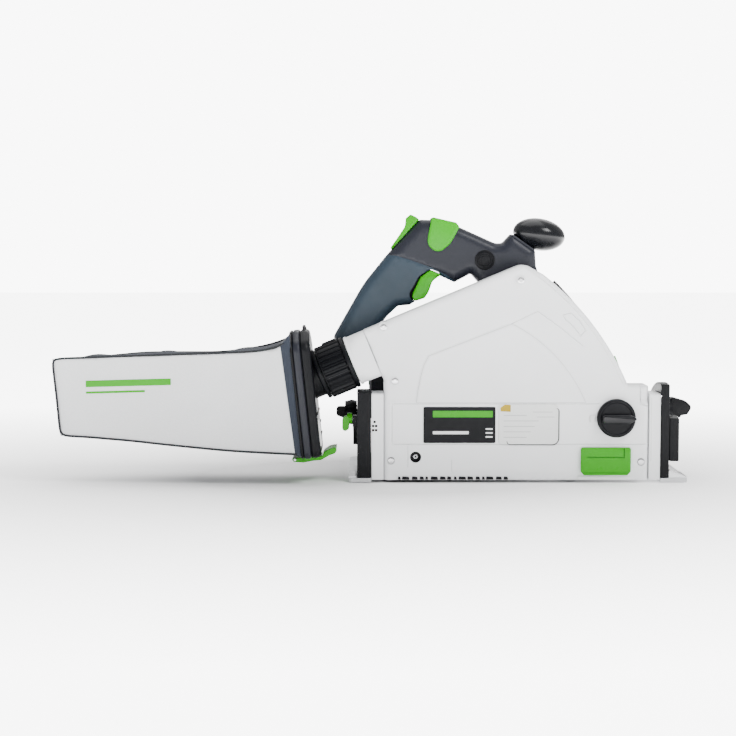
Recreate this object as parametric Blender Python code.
"""A cordless track plunge saw with its dust bag, modelled as the separate pieces it comes apart into.

Millimetres in this file, metres in the scene. +X is the cutting direction, -Y the blade side, +Z up.
The origin is on the sole, at the middle of the base plate. The saw is in its raised position.
"""

from math import atan2, cos, degrees, hypot, pi, radians, sin, tan

import bmesh
import bpy
from mathutils import Matrix, Vector

MM = 0.001
GAP = 0.3  # between two pieces that touch

# Driving dimensions
PLATE_LENGTH = 342.0
PLATE_WIDTH = 170.0
PLATE_THICK = 5.0
BLADE_RADIUS = 80.0
BLADE_THICK = 1.8
BLADE_TEETH = 48
BLADE_Y = -70.0  # the plane of the blade
TILT_Y = BLADE_Y  # the bevel axis runs along X at sole level, in the blade's plane
PIVOT = (-128.0, 30.0)  # x, z of the plunge pivot, at the back of the hood
PLUNGE = 23.0  # degrees from raised to full depth
ARM = 158.2  # pivot to spindle
ARM_RAISED = 20.2  # degrees above level when raised
SPINDLE = (
    PIVOT[0] + ARM * cos(radians(ARM_RAISED)),
    PIVOT[1] + ARM * sin(radians(ARM_RAISED)),
)
WALL = 3.0

# The hood, a flat box round the blade
HOOD_RIGHT = -84.0
HOOD_LEFT = -50.0
HOOD_FRONT = 131.0
HOOD_REAR = -135.0
HOOD_FLOOR = 3.0
BOX_TOP = 98.0

# The dust duct at the back of the hood
DUCT_END = (-167.0, 121.6)
DUCT_SLOPE = 22.5  # degrees that the duct rises towards the front
DUCT_Y = -66.5
DUCT_RADIUS = 24.6

# Gears: module, teeth on the spindle gear and on the motor's pinion
MODULE = 1.25
GEAR_TEETH = 23
PINION_TEETH = 13
GEAR_CENTRES = MODULE * (GEAR_TEETH + PINION_TEETH) / 2
MOTOR_RADIUS = 34.0

# The handle
HANDLE_Y = -16.0
HANDLE_HALF = 18.0


# ---------------------------------------------------------------- helpers


def clear_scene():
    for obj in list(bpy.data.objects):
        bpy.data.objects.remove(obj, do_unlink=True)


def material(name, colour, roughness, metallic=0.0):
    found = bpy.data.materials.get(name)
    if found:
        return found
    made = bpy.data.materials.new(name)
    made.use_nodes = True
    shader = made.node_tree.nodes["Principled BSDF"]
    shader.inputs["Base Color"].default_value = (*colour, 1.0)
    shader.inputs["Roughness"].default_value = roughness
    shader.inputs["Metallic"].default_value = metallic
    made.diffuse_color = (*colour, 1.0)
    return made


def white_plastic():
    return material("white_plastic", (0.80, 0.81, 0.82), 0.42)


def black_plastic():
    return material("black_plastic", (0.018, 0.020, 0.026), 0.45)


def blue_plastic():
    return material("blue_plastic", (0.030, 0.055, 0.085), 0.5)


def green_plastic():
    return material("green_plastic", (0.16, 0.52, 0.05), 0.4)


def aluminium():
    return material("aluminium", (0.72, 0.73, 0.74), 0.35, 1.0)


def steel():
    return material("steel", (0.55, 0.56, 0.58), 0.3, 1.0)


def copper():
    return material("copper", (0.72, 0.36, 0.18), 0.35, 1.0)


def fabric():
    return material("bag_fabric", (0.60, 0.62, 0.64), 0.8)


def circle(cx, cz, radius, count, start=0.0, end=360.0):
    """Points on an arc, in degrees. A whole circle doesn't repeat its first point."""
    whole = abs(end - start) >= 360
    steps = count if whole else count - 1
    angles = [radians(start + (end - start) * i / steps) for i in range(count)]
    return [(cx + radius * cos(a), cz + radius * sin(a)) for a in angles]


def rounded(corners, steps=4):
    """An outline whose corners (x, z, radius) are rounded."""
    outline = []
    count = len(corners)
    for i, (x, z, radius) in enumerate(corners):
        here = Vector((x, z))
        before = Vector(corners[i - 1][:2]) - here
        after = Vector(corners[(i + 1) % count][:2]) - here
        if radius <= 0:
            outline.append((x, z))
            continue
        half = before.angle(after) / 2
        reach = radius / tan(half)
        middle = here + (before.normalized() + after.normalized()).normalized() * (
            radius / sin(half)
        )
        first = here + before.normalized() * reach
        last = here + after.normalized() * reach
        a0 = atan2(first.y - middle.y, first.x - middle.x)
        a1 = atan2(last.y - middle.y, last.x - middle.x)
        turn = (a1 - a0 + pi) % (2 * pi) - pi
        for k in range(steps + 1):
            a = a0 + turn * k / steps
            outline.append((middle.x + radius * cos(a), middle.y + radius * sin(a)))
    return outline


def box_outline(x0, z0, x1, z1, radius=0.0, steps=3):
    return rounded([(x0, z0, radius), (x1, z0, radius), (x1, z1, radius), (x0, z1, radius)], steps)


def area(outline):
    ends = outline[1:] + outline[:1]
    return sum(a[0] * b[1] - b[0] * a[1] for a, b in zip(outline, ends)) / 2


def inset(outline, distance):
    """The outline moved inwards by a distance, corner for corner."""
    side = 1 if area(outline) > 0 else -1
    moved = []
    for i, point in enumerate(outline):
        here = Vector(point)
        into = (here - Vector(outline[i - 1])).normalized()
        out = (Vector(outline[(i + 1) % len(outline)]) - here).normalized()
        normal = (Vector((-into.y, into.x)) + Vector((-out.y, out.x))).normalized() * side
        share = max(0.35, normal.dot(Vector((-into.y, into.x)) * side))
        moved.append(tuple(here + normal * distance / share))
    return moved


def along_y(point, y):
    return (point[0], y, point[1])


def along_x(point, x):
    return (x, point[0], point[1])


def along_z(point, z):
    return (point[0], point[1], z)


def loft(rings):
    """A closed solid through rings of points in space, which all have the same count."""
    bm = bmesh.new()
    loops = [[bm.verts.new(Vector(p) * MM) for p in ring] for ring in rings]
    count = len(rings[0])
    for low, high in zip(loops, loops[1:]):
        for i in range(count):
            j = (i + 1) % count
            bm.faces.new((low[i], low[j], high[j], high[i]))
    bm.faces.new(loops[0])
    bm.faces.new(loops[-1])
    bmesh.ops.recalc_face_normals(bm, faces=bm.faces)
    return bm


def prism(outline, low, high, way=along_y, chamfer=0.0):
    """An outline extruded between two levels, with a chamfer at both ends if asked."""
    levels = [(low, 0.0), (high, 0.0)]
    if chamfer:
        levels = [
            (low, chamfer),
            (low + chamfer, 0.0),
            (high - chamfer, 0.0),
            (high, chamfer),
        ]
    return loft([[way(p, at) for p in (inset(outline, d) if d else outline)] for at, d in levels])


def cup(outline, low, high, wall, floor, way=along_y, rim=()):
    """An open shell, walls up from a floor at the low end. rim is (level, inset) at the floor."""
    levels = list(rim) or [(low, 0.0)]
    rings = [[way(p, at) for p in (inset(outline, d) if d else outline)] for at, d in levels]
    inner = inset(outline, wall)
    rings.append([way(p, high) for p in outline])
    rings.append([way(p, high) for p in inner])
    rings.append([way(p, low + floor) for p in inner])
    return loft(rings)


def turned(profile, centre, axis="Y", segments=32):
    """A solid of revolution. The profile is a closed list of (radius, position along the axis)."""
    bm = bmesh.new()
    rings = []
    for radius, at in profile:
        if radius < 1e-6:
            rings.append([bm.verts.new((0, 0, at * MM))])
            continue
        points = circle(0, 0, radius, segments)
        rings.append([bm.verts.new((x * MM, y * MM, at * MM)) for x, y in points])
    for low, high in zip(rings, rings[1:] + rings[:1]):
        if len(low) == 1 and len(high) == 1:
            continue
        for i in range(segments):
            j = (i + 1) % segments
            corners = [low[i % len(low)], low[j % len(low)], high[j % len(high)], high[i % len(high)]]
            bm.faces.new(list(dict.fromkeys(corners)))
    turns = {
        "X": Matrix.Rotation(pi / 2, 4, "Y"),
        "Y": Matrix.Rotation(-pi / 2, 4, "X"),
        "Z": Matrix.Identity(4),
    }
    bm.transform(Matrix.Translation(Vector(centre) * MM) @ turns[axis])
    bmesh.ops.recalc_face_normals(bm, faces=bm.faces)
    return bm


def turn_about(bm, degrees_, centre, axis):
    """Turns a mesh about an axis through a point."""
    middle = Vector(centre) * MM
    turn = Matrix.Rotation(radians(degrees_), 4, axis)
    bm.transform(Matrix.Translation(middle) @ turn @ Matrix.Translation(-middle))
    return bm


def raised(bm):
    """Takes a piece modelled at full depth up to the raised position."""
    return turn_about(bm, -PLUNGE, (PIVOT[0], 0, PIVOT[1]), "Y")


def raised_point(x, z):
    """A point of the saw unit at full depth, in the raised position."""
    a = radians(PLUNGE)
    dx = x - PIVOT[0]
    dz = z - PIVOT[1]
    return (PIVOT[0] + dx * cos(a) - dz * sin(a), PIVOT[1] + dx * sin(a) + dz * cos(a))


def add(name, bm, skin, origin=(0, 0, 0), smooth=35):
    """Makes an object of a mesh given in world millimetres, with its own origin on its joint or centre."""
    at = Vector(origin) * MM
    bm.transform(Matrix.Translation(-at))
    mesh = bpy.data.meshes.new(name)
    bm.to_mesh(mesh)
    bm.free()
    mesh.materials.append(skin)
    mesh.shade_smooth()
    mesh.set_sharp_from_angle(angle=radians(smooth))
    obj = bpy.data.objects.new(name, mesh)
    obj.location = at
    bpy.context.scene.collection.objects.link(obj)
    return obj


def boolean(obj, bm, operation):
    tool = add(f"{obj.name}_{operation.lower()}_{len(obj.modifiers)}", bm, obj.data.materials[0])
    tool.hide_render = True
    tool.display_type = "WIRE"
    modifier = obj.modifiers.new(operation.lower(), "BOOLEAN")
    modifier.operation = operation
    modifier.solver = "EXACT"
    modifier.object = tool


def cut(obj, *tools):
    for bm in tools:
        boolean(obj, bm, "DIFFERENCE")


def join(obj, *tools):
    for bm in tools:
        boolean(obj, bm, "UNION")


def block(x0, x1, y0, y1, z0, z1):
    return prism(box_outline(x0, z0, x1, z1), y0, y1)


def rod(centre, radius, low, high, axis="Y", segments=24):
    return turned([(0, low), (radius, low), (radius, high), (0, high)], centre, axis, segments)


def tube(centre, inner, outer, low, high, axis="Y", segments=32):
    profile = [(inner, low), (outer, low), (outer, high), (inner, high)]
    return turned(profile, centre, axis, segments)


# ---------------------------------------------------------------- base plate


PLATE_BOTTOM = 0.6
STRIP_THICK = 1.3
TONGUE_Y = -84.0
PLATE_RIGHT = -48.0
NOTCH = (-14.0, 74.0, -13.0)  # x from, x to, y to: room for the gear housing at full depth
RAIL_GROOVE = (14.0, 30.0)  # y of the groove that rides on a guide rail's rib
SEGMENT_RADIUS = 93.5
SLOT_RADIUS = 84.3
SLOT_HALF = 5.0
CLAMP_ANGLE = 50.0  # where the clamp bolts stand round the bevel axis at zero bevel
CLAMP = (
    TILT_Y + SLOT_RADIUS * cos(radians(CLAMP_ANGLE)),
    SLOT_RADIUS * sin(radians(CLAMP_ANGLE)),
)
REAR_SEGMENT = (-162.0, -147.8)
FRONT_SEGMENT = (142.8, 151.2)
TONGUES = ((-PLATE_LENGTH / 2, -147.4), (142.4, PLATE_LENGTH / 2))


STRIPS = ((-7.0, 7.0), (56.0, 70.0))
STRIP_HALF = 144.0
CAM_PLACES = ((-112.0, 32.0), (112.0, 32.0))
SENSOR = (-120.0, -28.0)


def make_base_plate():
    half = PLATE_LENGTH / 2
    left = PLATE_WIDTH / 2
    outline = rounded(
        [
            (-half, TONGUE_Y, 6),
            (TONGUES[0][1], TONGUE_Y, 2),
            (TONGUES[0][1], PLATE_RIGHT, 2),
            (NOTCH[0], PLATE_RIGHT, 2),
            (NOTCH[0], NOTCH[2], 5),
            (NOTCH[1], NOTCH[2], 5),
            (NOTCH[1], PLATE_RIGHT, 2),
            (TONGUES[1][0], PLATE_RIGHT, 2),
            (TONGUES[1][0], TONGUE_Y, 2),
            (half, TONGUE_Y, 6),
            (half, left, 12),
            (-half, left, 12),
        ],
        3,
    )
    plate = add("base_plate", prism(outline, PLATE_BOTTOM, PLATE_THICK, along_z), aluminium())
    rib_x = half - 12
    for y in (44.0, 78.0):
        join(plate, block(-rib_x, rib_x, y, y + 3, PLATE_THICK - 1, PLATE_THICK + 4))
    low, high = RAIL_GROOVE
    cut(plate, block(-half - 5, half + 5, low, high, PLATE_BOTTOM - 2, PLATE_BOTTOM + 2))
    for y0, y1 in STRIPS:
        grow = GAP
        half = STRIP_HALF + grow
        cut(plate, block(-half, half, y0 - grow, y1 + grow, -2, STRIP_THICK + grow))
    for x, y in CAM_PLACES:
        cut(plate, rod((x, y, 0), 5.3, -5, 20, "Z", 20))
    sensor_x, sensor_y = SENSOR
    cut(plate, block(sensor_x - 9.5, sensor_x + 9.5, sensor_y - 5.5, sensor_y + 5.5, -5, 20))


def make_glide_strips():
    for name, (y0, y1) in zip(("inner_glide_strip", "outer_glide_strip"), STRIPS):
        outline = box_outline(-STRIP_HALF, y0, STRIP_HALF, y1, 3)
        add(name, prism(outline, 0, STRIP_THICK, along_z), black_plastic())


def make_rail_cams():
    """Two knobs that take up the play on the guide rail. Each has an eccentric below the plate."""
    for name, (x, y) in zip(("rear_rail_cam", "front_rail_cam"), CAM_PLACES):
        profile = [(0, 2.8), (5, 2.8), (5, 5.4), (11, 5.4), (11, 11), (9.5, 12.5), (0, 12.5)]
        cam = add(name, turned(profile, (x, y, 0), "Z", 24), green_plastic(), (x, y, 0))
        join(cam, block(x - 9, x + 9, y - 1.6, y + 1.6, 10, 16))


def make_kickback_sensor():
    """A sprung foot behind the blade that feels the rail or the workpiece."""
    x, y = SENSOR
    outline = rounded([(x - 9, 1.2, 2), (x + 9, 1.2, 2), (x + 9, 9, 1), (x - 9, 9, 1)], 2)
    add("kickback_sensor", prism(outline, y - 5, y + 5), black_plastic(), (x, y, 0))


def segment_outline():
    top = circle(TILT_Y, 0, SEGMENT_RADIUS, 16, 98.0, 26.0)
    y_low = top[-1][0]
    return [(TONGUE_Y, PLATE_THICK + GAP), *top, (y_low, PLATE_THICK + GAP)]


def make_segment(name, low, high, cover):
    """A bevel segment: a quarter plate with an arc slot for the clamp bolt. cover is its thicker rim."""
    segment = add(name, prism(segment_outline(), low, high, along_x), black_plastic())
    slot = circle(TILT_Y, 0, SLOT_RADIUS + SLOT_HALF, 14, 44.0, 100.5)
    slot += circle(TILT_Y, 0, SLOT_RADIUS - SLOT_HALF, 14, 100.5, 44.0)
    window = circle(TILT_Y, 0, 61, 8, 82, 30) + [(-6, 16), (-60, 16)]
    c0, c1 = cover
    lip = circle(TILT_Y, 0, 67.3, 12, 96, 30) + circle(TILT_Y, 0, 56, 12, 30, 96)
    join(segment, prism(lip, c0, c1, along_x))
    cut(segment, prism(slot, low - 9, high + 9, along_x), prism(window, low - 9, high + 9, along_x))


def make_base():
    make_base_plate()
    make_glide_strips()
    make_rail_cams()
    make_kickback_sensor()
    make_segment("rear_bevel_segment", *REAR_SEGMENT, (-166.5, -161))
    make_segment("front_bevel_segment", *FRONT_SEGMENT, (150, 156))


# ---------------------------------------------------------------- hood


ARC_CENTRE = (-143.5, -9.6)
ARC_RADIUS = 276.0
SPLINTER_KNOB = (97.6, 65.7)
SPINDLE_SLOT_HALF = 19.0
COVER_SCREWS = {
    "cover_screw_rear_top": (-135.4, 156.6),
    "cover_screw_top": (1.4, 203.3),
    "cover_screw_middle": (-124.0, 102.7),
    "cover_screw_rear": (-127.8, 22.6),
    "cover_screw_front": (123.3, 21.4),
}


def duct_point(along, across):
    """x, z of a point a distance towards the front along the duct, and across it."""
    a = radians(DUCT_SLOPE)
    x, z = DUCT_END
    return (x + along * cos(a) - across * sin(a), z + along * sin(a) + across * cos(a))


DUCT_LENGTH = 22.0


def hood_outline(duct=DUCT_LENGTH + GAP):
    """The hood from the side: a box at the foot, an arc in front, the stub of the dust duct behind."""
    arc_start = degrees(atan2(214.1 - ARC_CENTRE[1], 18.8 - ARC_CENTRE[0]))
    arc_end = degrees(atan2(BOX_TOP - ARC_CENTRE[1], 110.7 - ARC_CENTRE[0]))
    apex = rounded([(-60, 193.1, 0), (5.5, 220.3, 14), (24, 208.5, 0)], 4)[1:-1]
    front = circle(*ARC_CENTRE, ARC_RADIUS, 14, arc_start - 1.5, arc_end)
    box = rounded([(100, BOX_TOP, 0), (HOOD_FRONT, BOX_TOP, 2), (HOOD_FRONT, HOOD_FLOOR, 1)], 2)[1:]
    rear = rounded([(0, HOOD_FLOOR, 0), (HOOD_REAR, HOOD_FLOOR, 1), (HOOD_REAR, 103.5, 0)], 2)[1:]
    return [
        duct_point(duct, DUCT_RADIUS),
        *apex,
        *front,
        *box,
        *rear,
        duct_point(duct, -DUCT_RADIUS),
    ]


def spindle_slot(half):
    """The arc that the gear housing's neck sweeps from raised to full depth."""
    low = ARM_RAISED - PLUNGE
    outer = circle(*PIVOT, ARM + half, 10, low, ARM_RAISED)
    inner = circle(*PIVOT, ARM - half, 10, ARM_RAISED, low)
    top = circle(*SPINDLE, half, 9, ARM_RAISED, ARM_RAISED + 180)[1:-1]
    lowest = raised_point(PIVOT[0], PIVOT[1])
    foot_x = lowest[0] + ARM * cos(radians(low))
    foot_z = lowest[1] + ARM * sin(radians(low))
    foot = circle(foot_x, foot_z, half, 9, low + 180, low + 360)[1:-1]
    return outer + top + inner + foot


def make_hood_cover():
    rim = [(HOOD_RIGHT, 5.0), (HOOD_RIGHT + 1.2, 2.0), (HOOD_RIGHT + 5, 0.0)]
    shell = cup(hood_outline(), HOOD_RIGHT, HOOD_LEFT - 3 - GAP, WALL, WALL, rim=rim)
    cover = add("hood_cover", shell, white_plastic())
    join(cover, tube((PIVOT[0] + 20, 0, PIVOT[1]), 0.5, 5, HOOD_RIGHT + 1, -54, segments=20))
    cut(
        cover,
        block(-78, 118, -80, -40, -5, HOOD_FLOOR + 13),
        rod((-103.2, 0, 26.1), 5.7, HOOD_RIGHT - 5, HOOD_RIGHT + 8),
        rod((SPLINTER_KNOB[0], 0, SPLINTER_KNOB[1]), 4.3, HOOD_RIGHT - 5, -75),
        rod((PIVOT[0], 0, PIVOT[1]), 5.3, -76, -40),
    )
    for x, z in COVER_SCREWS.values():
        cut(cover, rod((x, 0, z), 3.9, HOOD_RIGHT - 4, HOOD_RIGHT + 2, segments=16))
        cut(cover, rod((x, 0, z), 1.9, HOOD_RIGHT - 4, HOOD_RIGHT + 9, segments=12))


def make_hood_back():
    back = add("hood_back", prism(hood_outline(), HOOD_LEFT - 3, HOOD_LEFT), white_plastic())
    cut(
        back,
        prism(spindle_slot(SPINDLE_SLOT_HALF), -60, -40),
        rod((PIVOT[0], 0, PIVOT[1]), 5.3, -60, -40),
    )


def make_dust_duct():
    """The stub that turns the flat hood into the round outlet."""
    rings = []
    for wall in (0.0, 2.4):
        part = []
        for step in range(4):
            share = step / 3
            along = DUCT_LENGTH * (1 - share)
            ring = []
            for x, z in circle(0, 0, 1, 32):
                flat_z = max(-1.0, min(1.0, z * 1.45)) * (DUCT_RADIUS - wall)
                flat_y = max(-1.0, min(1.0, x * 1.45)) * (17 - wall)
                round_z = z * (DUCT_RADIUS - wall)
                round_y = x * (DUCT_RADIUS - wall)
                across = flat_z * (1 - share) + round_z * share
                middle = -67.0 * (1 - share) + DUCT_Y * share
                y = middle + flat_y * (1 - share) + round_y * share
                px, pz = duct_point(along, across)
                ring.append((px, y, pz))
            part.append(ring)
        rings.append(part)
    outer, inner = rings
    bm = bmesh.new()
    loops = [[bm.verts.new(Vector(p) * MM) for p in ring] for ring in outer + inner[::-1]]
    for low, high in zip(loops, loops[1:] + loops[:1]):
        for i in range(32):
            j = (i + 1) % 32
            bm.faces.new((low[i], low[j], high[j], high[i]))
    bmesh.ops.recalc_face_normals(bm, faces=bm.faces)
    add("dust_duct", bm, white_plastic())


def make_end_blocks():
    """The blocks that carry the hood on the two bevel segments."""
    y_left = CLAMP[0] + 16
    corners = [
        (HOOD_RIGHT, HOOD_FLOOR, 1),
        (y_left - 22, HOOD_FLOOR + 6, 3),
        (y_left, CLAMP[1] - 12, 8),
        (y_left - 2, CLAMP[1] + 12, 8),
        (HOOD_LEFT + 2, 90, 4),
        (HOOD_RIGHT, 90, 3),
    ]
    outline = rounded(corners, 3)
    front = add("front_end_block", prism(outline, HOOD_FRONT + GAP, 142.4, along_x), white_plastic())
    rear = add("rear_end_block", prism(outline, -147.4, HOOD_REAR - GAP, along_x), white_plastic())
    for part, low, high in ((front, 120, 150), (rear, -155, -125)):
        cut(part, rod((0, *CLAMP), 4.3, low, high, "X", 20))
    cut(rear, rod((PIVOT[0], 0, PIVOT[1]), 13, HOOD_LEFT, 10))


def make_screws():
    for name, (x, z) in COVER_SCREWS.items():
        head = [(0, -84.2), (3.2, -84.2), (3.6, -83.6), (3.6, -82.4)]
        head += [(1.6, -82.4), (1.6, -76.5), (0, -76.5)]
        screw = add(name, turned(head, (x, 0, z), segments=16), steel())
        cut(screw, block(x - 2, x + 2, -86, -83.4, z - 0.5, z + 0.5))


def make_labels():
    name_plate = box_outline(-95.6, 40.3, -23.1, 77.1, 1)
    rating = box_outline(-20.2, 39, 40, 79.7, 5)
    add("name_plate", prism(name_plate, HOOD_RIGHT - 0.9, HOOD_RIGHT - GAP), black_plastic())
    add("rating_plate", prism(rating, HOOD_RIGHT - 0.9, HOOD_RIGHT - GAP), white_plastic())


def make_depth_gauge():
    """The arc scale on the hood's left face, and the slider that sets the depth."""
    scale = circle(*PIVOT, 240, 16, 17.5, 46) + circle(*PIVOT, 226, 16, 46, 17.5)
    add("depth_scale", prism(scale, HOOD_LEFT + GAP, HOOD_LEFT + 2.5), black_plastic())
    slider = circle(*PIVOT, 249, 5, 17.5, 22.5) + circle(*PIVOT, 224, 5, 22.5, 17.5)
    body = prism(slider, HOOD_LEFT + 2.8, HOOD_LEFT + 9, chamfer=1)
    add("depth_stop", body, green_plastic(), (PIVOT[0], HOOD_LEFT, PIVOT[1]))


def make_splinter_guard():
    guard = prism(box_outline(62, 8, 113, 36.5, 1.5), -88, HOOD_RIGHT - GAP, chamfer=0.8)
    add("splinter_guard", guard, green_plastic(), (87.5, HOOD_RIGHT, 22))
    x, z = SPLINTER_KNOB
    profile = [
        (0, -92),
        (17, -92),
        (19.5, -90.5),
        (19.5, HOOD_RIGHT - 0.4),
        (4, HOOD_RIGHT - 0.4),
        (4, -77),
        (0, -77),
    ]
    shape = turned(profile, (x, 0, z), segments=40)
    knob = add("splinter_guard_knob", shape, black_plastic(), (x, HOOD_RIGHT, z))
    join(knob, prism(box_outline(x - 15, z - 4.9, x + 20.7, z + 4.9, 3, 3), -97, -86.2))


def make_clamps():
    """The clamp bolts through the bevel slots, their knobs, and the lever that frees the end stops."""
    y, z = CLAMP
    bolts = (("front_clamp_bolt", 131.6, 158), ("rear_clamp_bolt", -169, -135.6))
    for name, low, high in bolts:
        add(name, rod((0, y, z), 4, low, high, "X", 20), steel())
    knob_profile = [(4.3, 151.8), (15, 151.8), (16, 156.5), (16, 160)]
    knob_profile += [(14, 165), (0, 165), (0, 163.3), (4.3, 163.3)]
    front = turned(knob_profile, (0, y, z), "X", 28)
    knob = add("front_bevel_knob", front, black_plastic(), (151.8, y, z))
    wing = rounded([(159, z - 8, 3), (175, z - 5, 3), (177, z + 4, 3), (163, z + 12, 4)], 3)
    wing = prism(wing, y - 5, y + 5)
    join(knob, wing)
    flip = [(4.3, -162.6), (12, -162.6), (13, -167), (13, -169)]
    flip += [(11.5, -175), (0, -175), (0, -173.3), (4.3, -173.3)]
    rear = add("rear_bevel_knob", turned(flip, (0, y, z), "X", 28), black_plastic(), (-162.6, y, z))
    wing = rounded([(-170, z - 8, 2), (-170, z + 6, 2), (-184, z + 6, 3), (-184, z - 3, 3)], 3)
    join(rear, prism(wing, y - 5, y + 5))
    lever_y = TILT_Y
    outline = rounded([(-170, 70, 3), (-170, 54, 3), (-177, 48, 3), (-177, 64, 3)], 3)
    shape = prism(outline, lever_y - 6, lever_y + 6)
    lever = add("undercut_lever", shape, green_plastic(), (-167, lever_y, 64))
    join(lever, rod((0, lever_y, 64), 5.5, -172, -167, "X", 20))


def make_hood():
    make_hood_cover()
    make_hood_back()
    make_dust_duct()
    make_end_blocks()
    make_screws()
    make_labels()
    make_depth_gauge()
    make_splinter_guard()
    make_clamps()
    pin = [(0, -75), (5, -75), (5, -12), (0, -12)]
    add("plunge_pivot_pin", turned(pin, (PIVOT[0], 0, PIVOT[1]), segments=24), steel())


# ---------------------------------------------------------------- saw unit


SPINDLE_LOW = (
    PIVOT[0] + ARM * cos(radians(ARM_RAISED - PLUNGE)),
    PIVOT[1] + ARM * sin(radians(ARM_RAISED - PLUNGE)),
)
MOTOR_LOW = (SPINDLE_LOW[0], SPINDLE_LOW[1] + GEAR_CENTRES)
MOTOR = raised_point(*MOTOR_LOW)
GEAR_CASE = 18.5  # radius of the gear housing round the spindle
GEAR_BACK = -21.0  # y where the gear housing meets its cover
MOTOR_START = -16.7
MOTOR_END = 74.0
BATTERY = (-150.0, -33.0, 53.0, 118.0)  # x from, x to, z from, z to
BATTERY_PLACES = ((15.0, 81.0), (84.0, 150.0))


def hull_of_two(a, ra, b, rb, count=12):
    """The outline of a belt round two circles."""
    along = atan2(b[1] - a[1], b[0] - a[0])
    spread = pi / 2 + atan2(rb - ra, hypot(b[0] - a[0], b[1] - a[1])) if rb > ra else pi / 2
    near = circle(*a, ra, count, degrees(along + spread), degrees(along + 2 * pi - spread))
    far = circle(*b, rb, count, degrees(along - spread), degrees(along + spread))
    return near + far


def gear_profile(teeth, height, backlash, bore=0.0):
    """The outline of a spur gear with straight-sided teeth."""
    pitch = MODULE * teeth / 2
    tooth = pi / teeth
    outline = []
    for i in range(teeth):
        middle = 2 * pi * i / teeth
        for radius, width in (
            (pitch - height * 1.15, 1.35),
            (pitch, 1 - backlash),
            (pitch + height, 0.5),
        ):
            outline.append((radius, middle - tooth * width / 2))
        for radius, width in (
            (pitch + height, 0.5),
            (pitch, 1 - backlash),
            (pitch - height * 1.15, 1.35),
        ):
            outline.append((radius, middle + tooth * width / 2))
    return outline


def gear(teeth, centre, low, high, phase):
    """A spur gear turned so that a tooth points at the phase angle, in degrees."""
    outline = []
    for radius, angle in gear_profile(teeth, MODULE * 0.85, 0.14):
        a = angle + radians(phase)
        outline.append((centre[0] + radius * cos(a), centre[1] + radius * sin(a)))
    return prism(outline, low, high)


def make_gear_housing():
    """The aluminium arm from the plunge pivot to the gearbox, with the neck that holds the spindle."""
    case = hull_of_two(SPINDLE_LOW, GEAR_CASE, MOTOR_LOW, 26)
    housing = add("gear_housing", raised(prism(case, -47, GEAR_BACK)), aluminium())
    reach = SPINDLE_LOW[0]
    arm = rounded([(-128, 22, 4), (reach, 24, 2), (reach, 60, 2), (-100, 50, 8), (-128, 42, 4)], 3)
    join(
        housing,
        raised(prism(arm, -46, -25)),
        rod((PIVOT[0], 0, PIVOT[1]), 12, -46.5, -14, segments=28),
        rod((SPINDLE[0], 0, SPINDLE[1]), 16, -61, -44, segments=32),
    )
    cavity = hull_of_two(SPINDLE_LOW, GEAR_CASE - 2.3, MOTOR_LOW, 14)
    cut(
        housing,
        raised(prism(cavity, -43.5, GEAR_BACK + 5)),
        rod((PIVOT[0], 0, PIVOT[1]), 5.4, -60, 0),
        rod((SPINDLE[0], 0, SPINDLE[1]), 12.8, -70, -40, segments=32),
    )


def make_gear_cover():
    case = hull_of_two(SPINDLE_LOW, GEAR_CASE, MOTOR_LOW, 26)
    cover = add("gear_cover", raised(prism(case, GEAR_BACK + GAP, MOTOR_START - GAP)), aluminium())
    cut(cover, rod((MOTOR[0], 0, MOTOR[1]), 6, -30, 0))


def make_motor():
    x, z = MOTOR
    wall = [
        (MOTOR_RADIUS - 2.5, MOTOR_START + 4),
        (22, MOTOR_START + 4),
        (22, MOTOR_START),
        (MOTOR_RADIUS - 2, MOTOR_START),
        (MOTOR_RADIUS, MOTOR_START + 2),
        (MOTOR_RADIUS, MOTOR_END),
        (MOTOR_RADIUS - 2.5, MOTOR_END),
    ]
    housing = add("motor_housing", turned(wall, (x, 0, z), segments=40), blue_plastic())
    cut(housing, block(x - 10.5, x + 10.5, 53.5, 61.5, z + 22, z + 45))
    cap = [
        (MOTOR_RADIUS - 2.5, MOTOR_END + GAP),
        (MOTOR_RADIUS, MOTOR_END + GAP),
        (MOTOR_RADIUS, MOTOR_END + 6),
        (MOTOR_RADIUS - 5, MOTOR_END + 12),
        (0, MOTOR_END + 13),
        (0, MOTOR_END + 10),
        (MOTOR_RADIUS - 6, MOTOR_END + 9),
        (MOTOR_RADIUS - 2.5, MOTOR_END + 5),
    ]
    end = add("motor_end_cap", turned(cap, (x, 0, z), segments=40), black_plastic())
    for step in range(-2, 3):
        half = 22 - abs(step) * 4
        level = z + step * 9
        cut(end, block(x - half, x + half, MOTOR_END + 4, MOTOR_END + 20, level - 1.6, level + 1.6))
    add("motor_stator", tube((x, 0, z), 15.5, 30.5, 0, 46, segments=36), copper())
    profile = [(0, 54), (9, 54), (9.5, 54.6), (9.5, 60.4), (9, 61), (0, 61)]
    dial = turned(profile, (x, 0, z + 27), segments=30)
    add("speed_dial", dial, green_plastic(), (x, 57.5, z + 27))


def make_rotor():
    """Motor shaft with core, fan and pinion."""
    x, z = MOTOR
    profile = [(0, -28), (4, -28), (4, 2), (14.8, 2), (14.8, 44), (4, 44)]
    profile += [(4, 50), (15, 50), (15, 52), (4, 52), (4, 70), (0, 70)]
    shaft = add("motor_rotor", turned(profile, (x, 0, z), segments=28), steel(), (x, 0, z))
    toward = degrees(atan2(SPINDLE[1] - z, SPINDLE[0] - x))
    phase = toward + 180 / PINION_TEETH
    join(shaft, gear(PINION_TEETH, MOTOR, -41, -27, phase))


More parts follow.
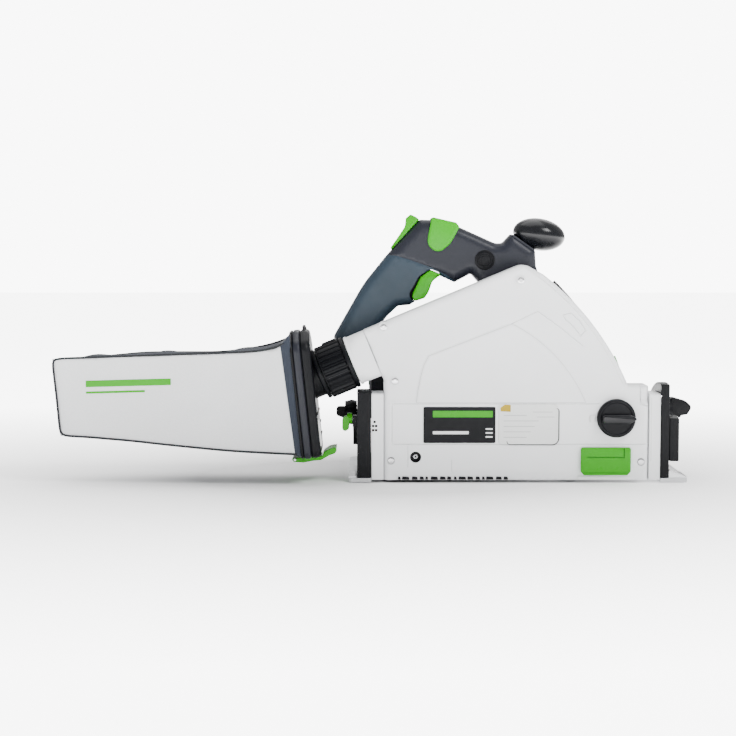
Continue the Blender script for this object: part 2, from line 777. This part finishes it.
def make_arbor():
    """Everything that turns with the blade."""
    x, z = SPINDLE
    at = (x, BLADE_Y, z)
    profile = [
        (0, -25),
        (6, -25),
        (6, -63),
        (15, -64),
        (15, -68.8),
        (9.7, -68.8),
        (9.7, -70.6),
        (4.2, -70.6),
        (4.2, -52),
        (0, -52),
    ]
    add("spindle", turned(profile, (x, 0, z), segments=32), steel(), at)
    toward = degrees(atan2(MOTOR[1] - z, MOTOR[0] - x))
    wheel = add("spindle_gear", gear(GEAR_TEETH, SPINDLE, -40, -28, toward), steel(), at)
    cut(wheel, rod((x, 0, z), 6.3, -50, -20))
    outer = [(4.2, -71.2), (15, -71.2), (15, -73.4), (12, -75), (4.2, -75)]
    add("outer_flange", turned(outer, (x, 0, z), segments=32), steel(), at)
    profile = [(0, -79), (7.5, -79), (8, -78.4), (8, -75.3), (3.8, -75.3), (3.8, -54), (0, -54)]
    bolt = add("blade_bolt", turned(profile, (x, 0, z), segments=24), steel(), at)
    cut(bolt, prism(circle(x, z, 3.2, 6), -90, -76.5))


def blade_outline():
    """Teeth that lean into the turn: the front of the blade rises."""
    outline = []
    for i in range(BLADE_TEETH):
        start = 360 * i / BLADE_TEETH
        step = 360 / BLADE_TEETH
        for depth, share in ((0.0, 0.0), (5.5, 0.06), (5.0, 0.36), (1.2, 0.62)):
            radius = BLADE_RADIUS - depth
            a = radians(-(start + step * share))
            outline.append((SPINDLE[0] + radius * cos(a), SPINDLE[1] + radius * sin(a)))
    return outline


def make_blade():
    x, z = SPINDLE
    half = BLADE_THICK / 2
    shape = prism(blade_outline(), BLADE_Y - half, BLADE_Y + half)
    blade = add("saw_blade", shape, steel(), (x, BLADE_Y, z))
    cut(blade, rod((x, 0, z), 10, -80, -60, segments=32))


HANDLE_TIP = ((-3.5, 249.5), (17.0, 232.5))  # where the front knob caps the handle


def handle_outline():
    return rounded(
        [
            (-187.4, 143, 6),
            (-155.9, 198.3, 120),
            (-131.5, 228.5, 60),
            (-98.0, 264.6, 4),
            (-85, 264.3, 12),
            (-58.3, 257.6, 60),
            (-20, 240.4, 12),
            (-12, 240.5, 6),
            (*HANDLE_TIP[0], 0),
            (*HANDLE_TIP[1], 0),
            (18, 217, 6),
            (40, 160, 10),
            (40, 112, 4),
            (-120, 104, 8),
            (-170, 116, 10),
        ],
        3,
    )


def handle_opening():
    return rounded(
        [
            (-84, 216, 2),
            (-99.5, 209, 6),
            (-110, 188, 6),
            (-107.5, 178, 3),
            (-119, 176.5, 4),
            (-131, 165.5, 8),
            (-147, 144, 8),
            (-141, 131, 6),
            (-58, 146, 8),
            (-42, 156, 6),
            (-37, 200, 4),
            (-45, 209, 1.5),
            (-62, 200, 1.5),
            (-76, 206.5, 3),
        ],
        2,
    )


TRIGGER_PIVOT = (-86.0, 215.0)
TRIGGER_PULL = 4.8  # degrees of travel, with a little room
TRIGGER_HALF = 16.0


def trigger_outline():
    return rounded(
        [
            (-87, 213.6, 3),
            (-77.6, 206.8, 1),
            (-85.6, 200, 8),
            (-88.5, 190, 12),
            (-92, 184, 3),
            (-104, 180, 4),
            (-106.5, 187, 6),
            (-97.5, 206, 6),
        ],
        2,
    )


def handle_cutters():
    """Room in both handle shells for the trigger's travel, the switch, the gearbox and the motor."""
    middle = (TRIGGER_PIVOT[0], 0, TRIGGER_PIVOT[1])
    low, high = HANDLE_Y - HANDLE_HALF - 4, HANDLE_Y + HANDLE_HALF + 4
    pocket = inset(trigger_outline(), -0.6)
    tools = [turn_about(prism(pocket, low, high), angle, middle, "Y") for angle in (0, TRIGGER_PULL)]
    tools.append(block(-126, -111, HANDLE_Y - 10, HANDLE_Y + 10, 186, 214))
    tools.append(block(-150, -60, HANDLE_Y - 12, HANDLE_Y + 12, 113, 126))
    tools.append(rod((MOTOR[0], 0, MOTOR[1]), MOTOR_RADIUS + 0.6, -60, 20, segments=40))
    return tools


def make_handle():
    right, left = HANDLE_Y - HANDLE_HALF, HANDLE_Y + HANDLE_HALF
    halves = (
        ("handle_right_shell", right, HANDLE_Y - GAP / 2),
        ("handle_left_shell", left, HANDLE_Y + GAP / 2),
    )
    for name, outer, seam in halves:
        step = 1 if outer < seam else -1
        rim = [(outer, 3.6), (outer + step * 1.2, 1.6), (outer + step * 3.5, 0.3)]
        rim += [(outer + step * 6, 0.0), (seam, 0.0)]
        rings = []
        for at, depth in rim:
            outline = inset(handle_outline(), depth) if depth else handle_outline()
            rings.append([along_y(p, at) for p in outline])
        shell = add(name, loft(rings), blue_plastic())
        cut(shell, prism(handle_opening(), right - 5, left + 5), *handle_cutters())
    cap = [(0, right - 1.6), (8.5, right - 1.6), (10, right - 0.8), (10, right - GAP), (0, right - GAP)]
    add("handle_side_cap", turned(cap, (-32, 0, 222), segments=28), black_plastic())


def make_front_knob():
    centre = Vector((22.5, HANDLE_Y, 249.2))
    profile = [(16 * sin(radians(a)), -26.5 * cos(radians(a))) for a in range(0, 181, 15)]
    profile[0] = (0, -26.5)
    profile[-1] = (0, 26.5)
    egg = turned(profile, centre, "X", 28)
    there, back = Matrix.Translation(centre * MM), Matrix.Translation(-centre * MM)
    stretch = there @ Matrix.Scale(1.4, 4, (0, 1, 0)) @ back
    egg.transform(stretch)
    turn_about(egg, 10, centre, "Y")
    knob = add("front_knob", egg, black_plastic())
    (x0, z0), (x1, z1) = HANDLE_TIP
    along = Vector((x1 - x0, z1 - z0)).normalized()
    away = Vector((-along.y, along.x))
    start = Vector((x0, z0)) - along * 40 + away * 0.4
    end = Vector((x1, z1)) + along * 40 + away * 0.4
    under = [tuple(start), tuple(end), tuple(end - away * 60), tuple(start - away * 60)]
    cut(knob, prism(under, -60, 30))


def make_trigger():
    at = (TRIGGER_PIVOT[0], HANDLE_Y, TRIGGER_PIVOT[1])
    low, high = HANDLE_Y - TRIGGER_HALF, HANDLE_Y + TRIGGER_HALF
    add("trigger", prism(trigger_outline(), low, high, chamfer=0.8), green_plastic(), at)
    add("trigger_switch", block(-125, -112, HANDLE_Y - 9, HANDLE_Y + 9, 187, 213), black_plastic())
    add("control_board", block(-148, -62, HANDLE_Y - 11, HANDLE_Y + 11, 115, 118), green_plastic())


LOCK_START = (-131.5, 228.5)
LOCK_DIRECTION = Vector((0.6803, 0.7329))


def make_plunge_lock():
    """The thumb slider on the back of the handle that frees the plunge and the trigger."""
    out = Vector((-LOCK_DIRECTION.y, LOCK_DIRECTION.x))
    shape = [(7, 0.5), (8, 2.5), (20, 5), (36, 8), (43, 13.5), (47.5, 12.5), (49, 4), (49, 0.5)]
    outline = [tuple(Vector(LOCK_START) + LOCK_DIRECTION * s + out * o) for s, o in shape]
    middle = Vector(LOCK_START) + LOCK_DIRECTION * 28
    body = prism(outline, HANDLE_Y - 11, HANDLE_Y + 11)
    add("plunge_lock", body, green_plastic(), (middle.x, HANDLE_Y, middle.y))


LEVER_PIVOT = (-63.0, 249.0)


def make_blade_change_lever():
    """A saddle over the handle that flips forward to lock the spindle."""
    right, left = HANDLE_Y - HANDLE_HALF - 2.2, HANDLE_Y + HANDLE_HALF + 2.2
    cheek = rounded([(-85.5, 268, 3), (-88, 240, 14), (-70, 232, 11), (-58, 248, 6), (-62, 266, 3)], 4)
    at = (LEVER_PIVOT[0], HANDLE_Y, LEVER_PIVOT[1])
    lever = add("blade_change_lever", prism(cheek, right, left), green_plastic(), at)
    inner_right, inner_left = HANDLE_Y - HANDLE_HALF - 0.4, HANDLE_Y + HANDLE_HALF + 0.4
    under = [(-100, 265.4), (-84.4, 265.3), (-62.5, 259.6), (-40, 252), (-40, 200), (-100, 200)]
    cut(lever, prism(under, inner_right, inner_left))


def make_batteries():
    x0, x1, z0, z1 = BATTERY
    for name, (y0, y1) in zip(("battery_inner", "battery_outer"), BATTERY_PLACES):
        corners = [(x0, z0, 6), (x1, z0, 4), (x1, z1 - 8, 2), (x0 + 8, z1 - 8, 2), (x0, z1 - 14, 4)]
        outline = rounded(corners, 3)
        at = ((x0 + x1) / 2, (y0 + y1) / 2, (z0 + z1) / 2)
        pack = add(name, prism(outline, y0, y1, chamfer=2.5), black_plastic(), at)
        join(pack, block(x0 + 14, x1 - 2, y0 + 14, y1 - 14, z1 - 12, z1 - 1))
        join(pack, block(x0 + 14, x1 - 2, y0 + 9, y1 - 9, z1 - 4.5, z1 - 1))


def make_battery_holder():
    """The deck the batteries hang from, with the wall that carries their contacts."""
    x0, x1, z0, z1 = BATTERY
    y0, y1 = HANDLE_Y + HANDLE_HALF + GAP, BATTERY_PLACES[1][1] + 1
    corners = [(x0 + 4, z1 - 7, 1), (x0 + 4, z1 + 9, 5), (-8, z1 + 16, 5)]
    corners += [(-8, 66, 3), (x1 + 1, 62, 3), (x1 + 1, z1 - 7, 0)]
    shape = rounded(corners, 3)
    holder = add("battery_holder", prism(shape, y0, y1), blue_plastic())
    cut(holder, rod((MOTOR[0], 0, MOTOR[1]), MOTOR_RADIUS + 0.5, -20, MOTOR_END + 14, segments=40))
    for low, high in BATTERY_PLACES:
        cut(holder, block(x0 - 20, x1, low + 13, high - 13, z1 - 20, z1 - 2.5))
        cut(holder, block(x0 - 20, x1, low + 8, high - 8, z1 - 5.2, z1))
    cut(holder, block(-40, -23, y0 - 5, BATTERY_PLACES[0][0] - 3, 40, z1 - 12))


def make_saw_unit():
    make_gear_housing()
    make_gear_cover()
    make_motor()
    make_rotor()
    make_arbor()
    make_blade()
    add("spindle_bearing", tube((SPINDLE[0], 0, SPINDLE[1]), 6.3, 12.5, -60, -49), steel())
    make_handle()
    make_front_knob()
    make_trigger()
    make_plunge_lock()
    make_blade_change_lever()
    make_batteries()
    make_battery_holder()


# ---------------------------------------------------------------- dust bag


COLLAR_LENGTH = 31.0
COLLAR_RADIUS = 26.8
CONNECTOR_RADIUS = 21.3
CONNECTOR_END = 2.0  # how far the connector reaches into the duct
BAG_LEAN = 6.0  # degrees that the bag's frame leans back
BAG_FOOT = (-197.0, 28.0)  # x, z of the front lower edge of the frame
BAG_HEIGHT = 127.0
BAG_HALF = 41.0  # half width of the frame


def along_duct(bm):
    """Takes a piece turned about X, with its origin at the duct's mouth, onto the duct's axis."""
    centre = (DUCT_END[0], DUCT_Y, DUCT_END[1])
    bm.transform(Matrix.Translation(Vector(centre) * MM))
    return turn_about(bm, -DUCT_SLOPE, centre, "Y")


def make_collar():
    """The ribbed ring that locks the bag's connector to the duct."""
    outline = []
    ribs = 24
    for i in range(ribs):
        for depth, share in ((1.6, 0.0), (1.6, 0.4), (0.0, 0.5), (0.0, 0.9)):
            radius = COLLAR_RADIUS - depth
            a = 2 * pi * (i + share) / ribs
            outline.append((radius * cos(a), radius * sin(a)))
    ring = prism(outline, -COLLAR_LENGTH, -1.0, along_x)
    at = (DUCT_END[0], DUCT_Y, DUCT_END[1])
    collar = add("bayonet_collar", along_duct(ring), black_plastic(), at)
    cut(collar, along_duct(rod((0, 0, 0), CONNECTOR_RADIUS + GAP, -60, 20, "X", 32)))


def make_connector():
    profile = [
        (CONNECTOR_RADIUS - 2.3, CONNECTOR_END),
        (CONNECTOR_RADIUS, CONNECTOR_END),
        (CONNECTOR_RADIUS, -48),
        (CONNECTOR_RADIUS - 2.3, -48),
    ]
    add("bag_connector", along_duct(turned(profile, (0, 0, 0), "X", 32)), black_plastic())


def lean(bm):
    return turn_about(bm, -BAG_LEAN, (BAG_FOOT[0], 0, BAG_FOOT[1]), "Y")


def frame_outline(grow=0.0):
    low, high = BAG_FOOT[1] - grow, BAG_FOOT[1] + BAG_HEIGHT + grow
    half = BAG_HALF + grow
    shape = [
        (DUCT_Y - half, low, 8),
        (DUCT_Y + half, low, 8),
        (DUCT_Y + half, high - 12, 14),
        (DUCT_Y + 18, high, 14),
        (DUCT_Y - 18, high, 14),
        (DUCT_Y - half, high - 12, 14),
    ]
    return rounded(shape, 4)


def make_bag_frame():
    x = BAG_FOOT[0]
    rim = [(x, 3.0), (x - 1.5, 1.0), (x - 4, 0.0)]
    outline = frame_outline()
    inner = inset(outline, 2.6)
    rings = [[along_x(p, at) for p in (inset(outline, d) if d else outline)] for at, d in rim]
    rings.append([along_x(p, x - 20) for p in outline])
    rings += [[along_x(p, at) for p in inner] for at in (x - 20, x - 2.6)]
    frame = add("bag_frame", lean(loft(rings)), black_plastic())
    cut(frame, along_duct(rod((0, 0, 0), CONNECTOR_RADIUS + GAP, -90, 0, "X", 32)))


BAG_STATIONS = (
    # x behind the frame, half width, height of the bottom and of the top above the sole
    (0.0, 39.0, 29.0, 152.0),
    (10.0, 40.0, 29.0, 146.0),
    (60.0, 38.5, 33.0, 140.0),
    (130.0, 36.0, 39.0, 136.5),
    (200.0, 32.0, 43.5, 132.5),
    (244.0, 28.0, 46.0, 129.5),
    (250.0, 22.0, 52.0, 124.0),
)


def make_dust_bag():
    """The cloth bag, as its plain outer shape."""
    rings = []
    for back, half, low, high in BAG_STATIONS:
        x = BAG_FOOT[0] - 20.4 - back
        radius = min(10.0, half * 0.4)
        shape = box_outline(DUCT_Y - half, low, DUCT_Y + half, high, radius, 3)
        share = max(0.0, 1 - back / 130)
        slope = tan(radians(BAG_LEAN)) * share
        rings.append([(x - (p[1] - BAG_FOOT[1]) * slope, p[0], p[1]) for p in shape])
    add("dust_bag", loft(rings), fabric())


CLIP_PIVOT = (-224.5, 23.0)


def make_bag_clip():
    """The green clip under the frame that lets the bag open."""
    shape = [(-228, 24.6, 1), (-224, 20.5, 2), (-206, 21.5, 2), (-196, 25, 2), (-183, 31, 2)]
    shape += [(-182.5, 35.5, 2), (-193, 34, 1), (-195.6, 31, 1), (-197.5, 26.6, 1)]
    clip = prism(rounded(shape, 2), DUCT_Y - 16, DUCT_Y + 16)
    add("bag_clip", clip, green_plastic(), (CLIP_PIVOT[0], DUCT_Y, CLIP_PIVOT[1]))


def make_bag():
    make_collar()
    make_connector()
    make_bag_frame()
    make_dust_bag()
    make_bag_clip()


clear_scene()
make_base()
make_hood()
make_saw_unit()
make_bag()
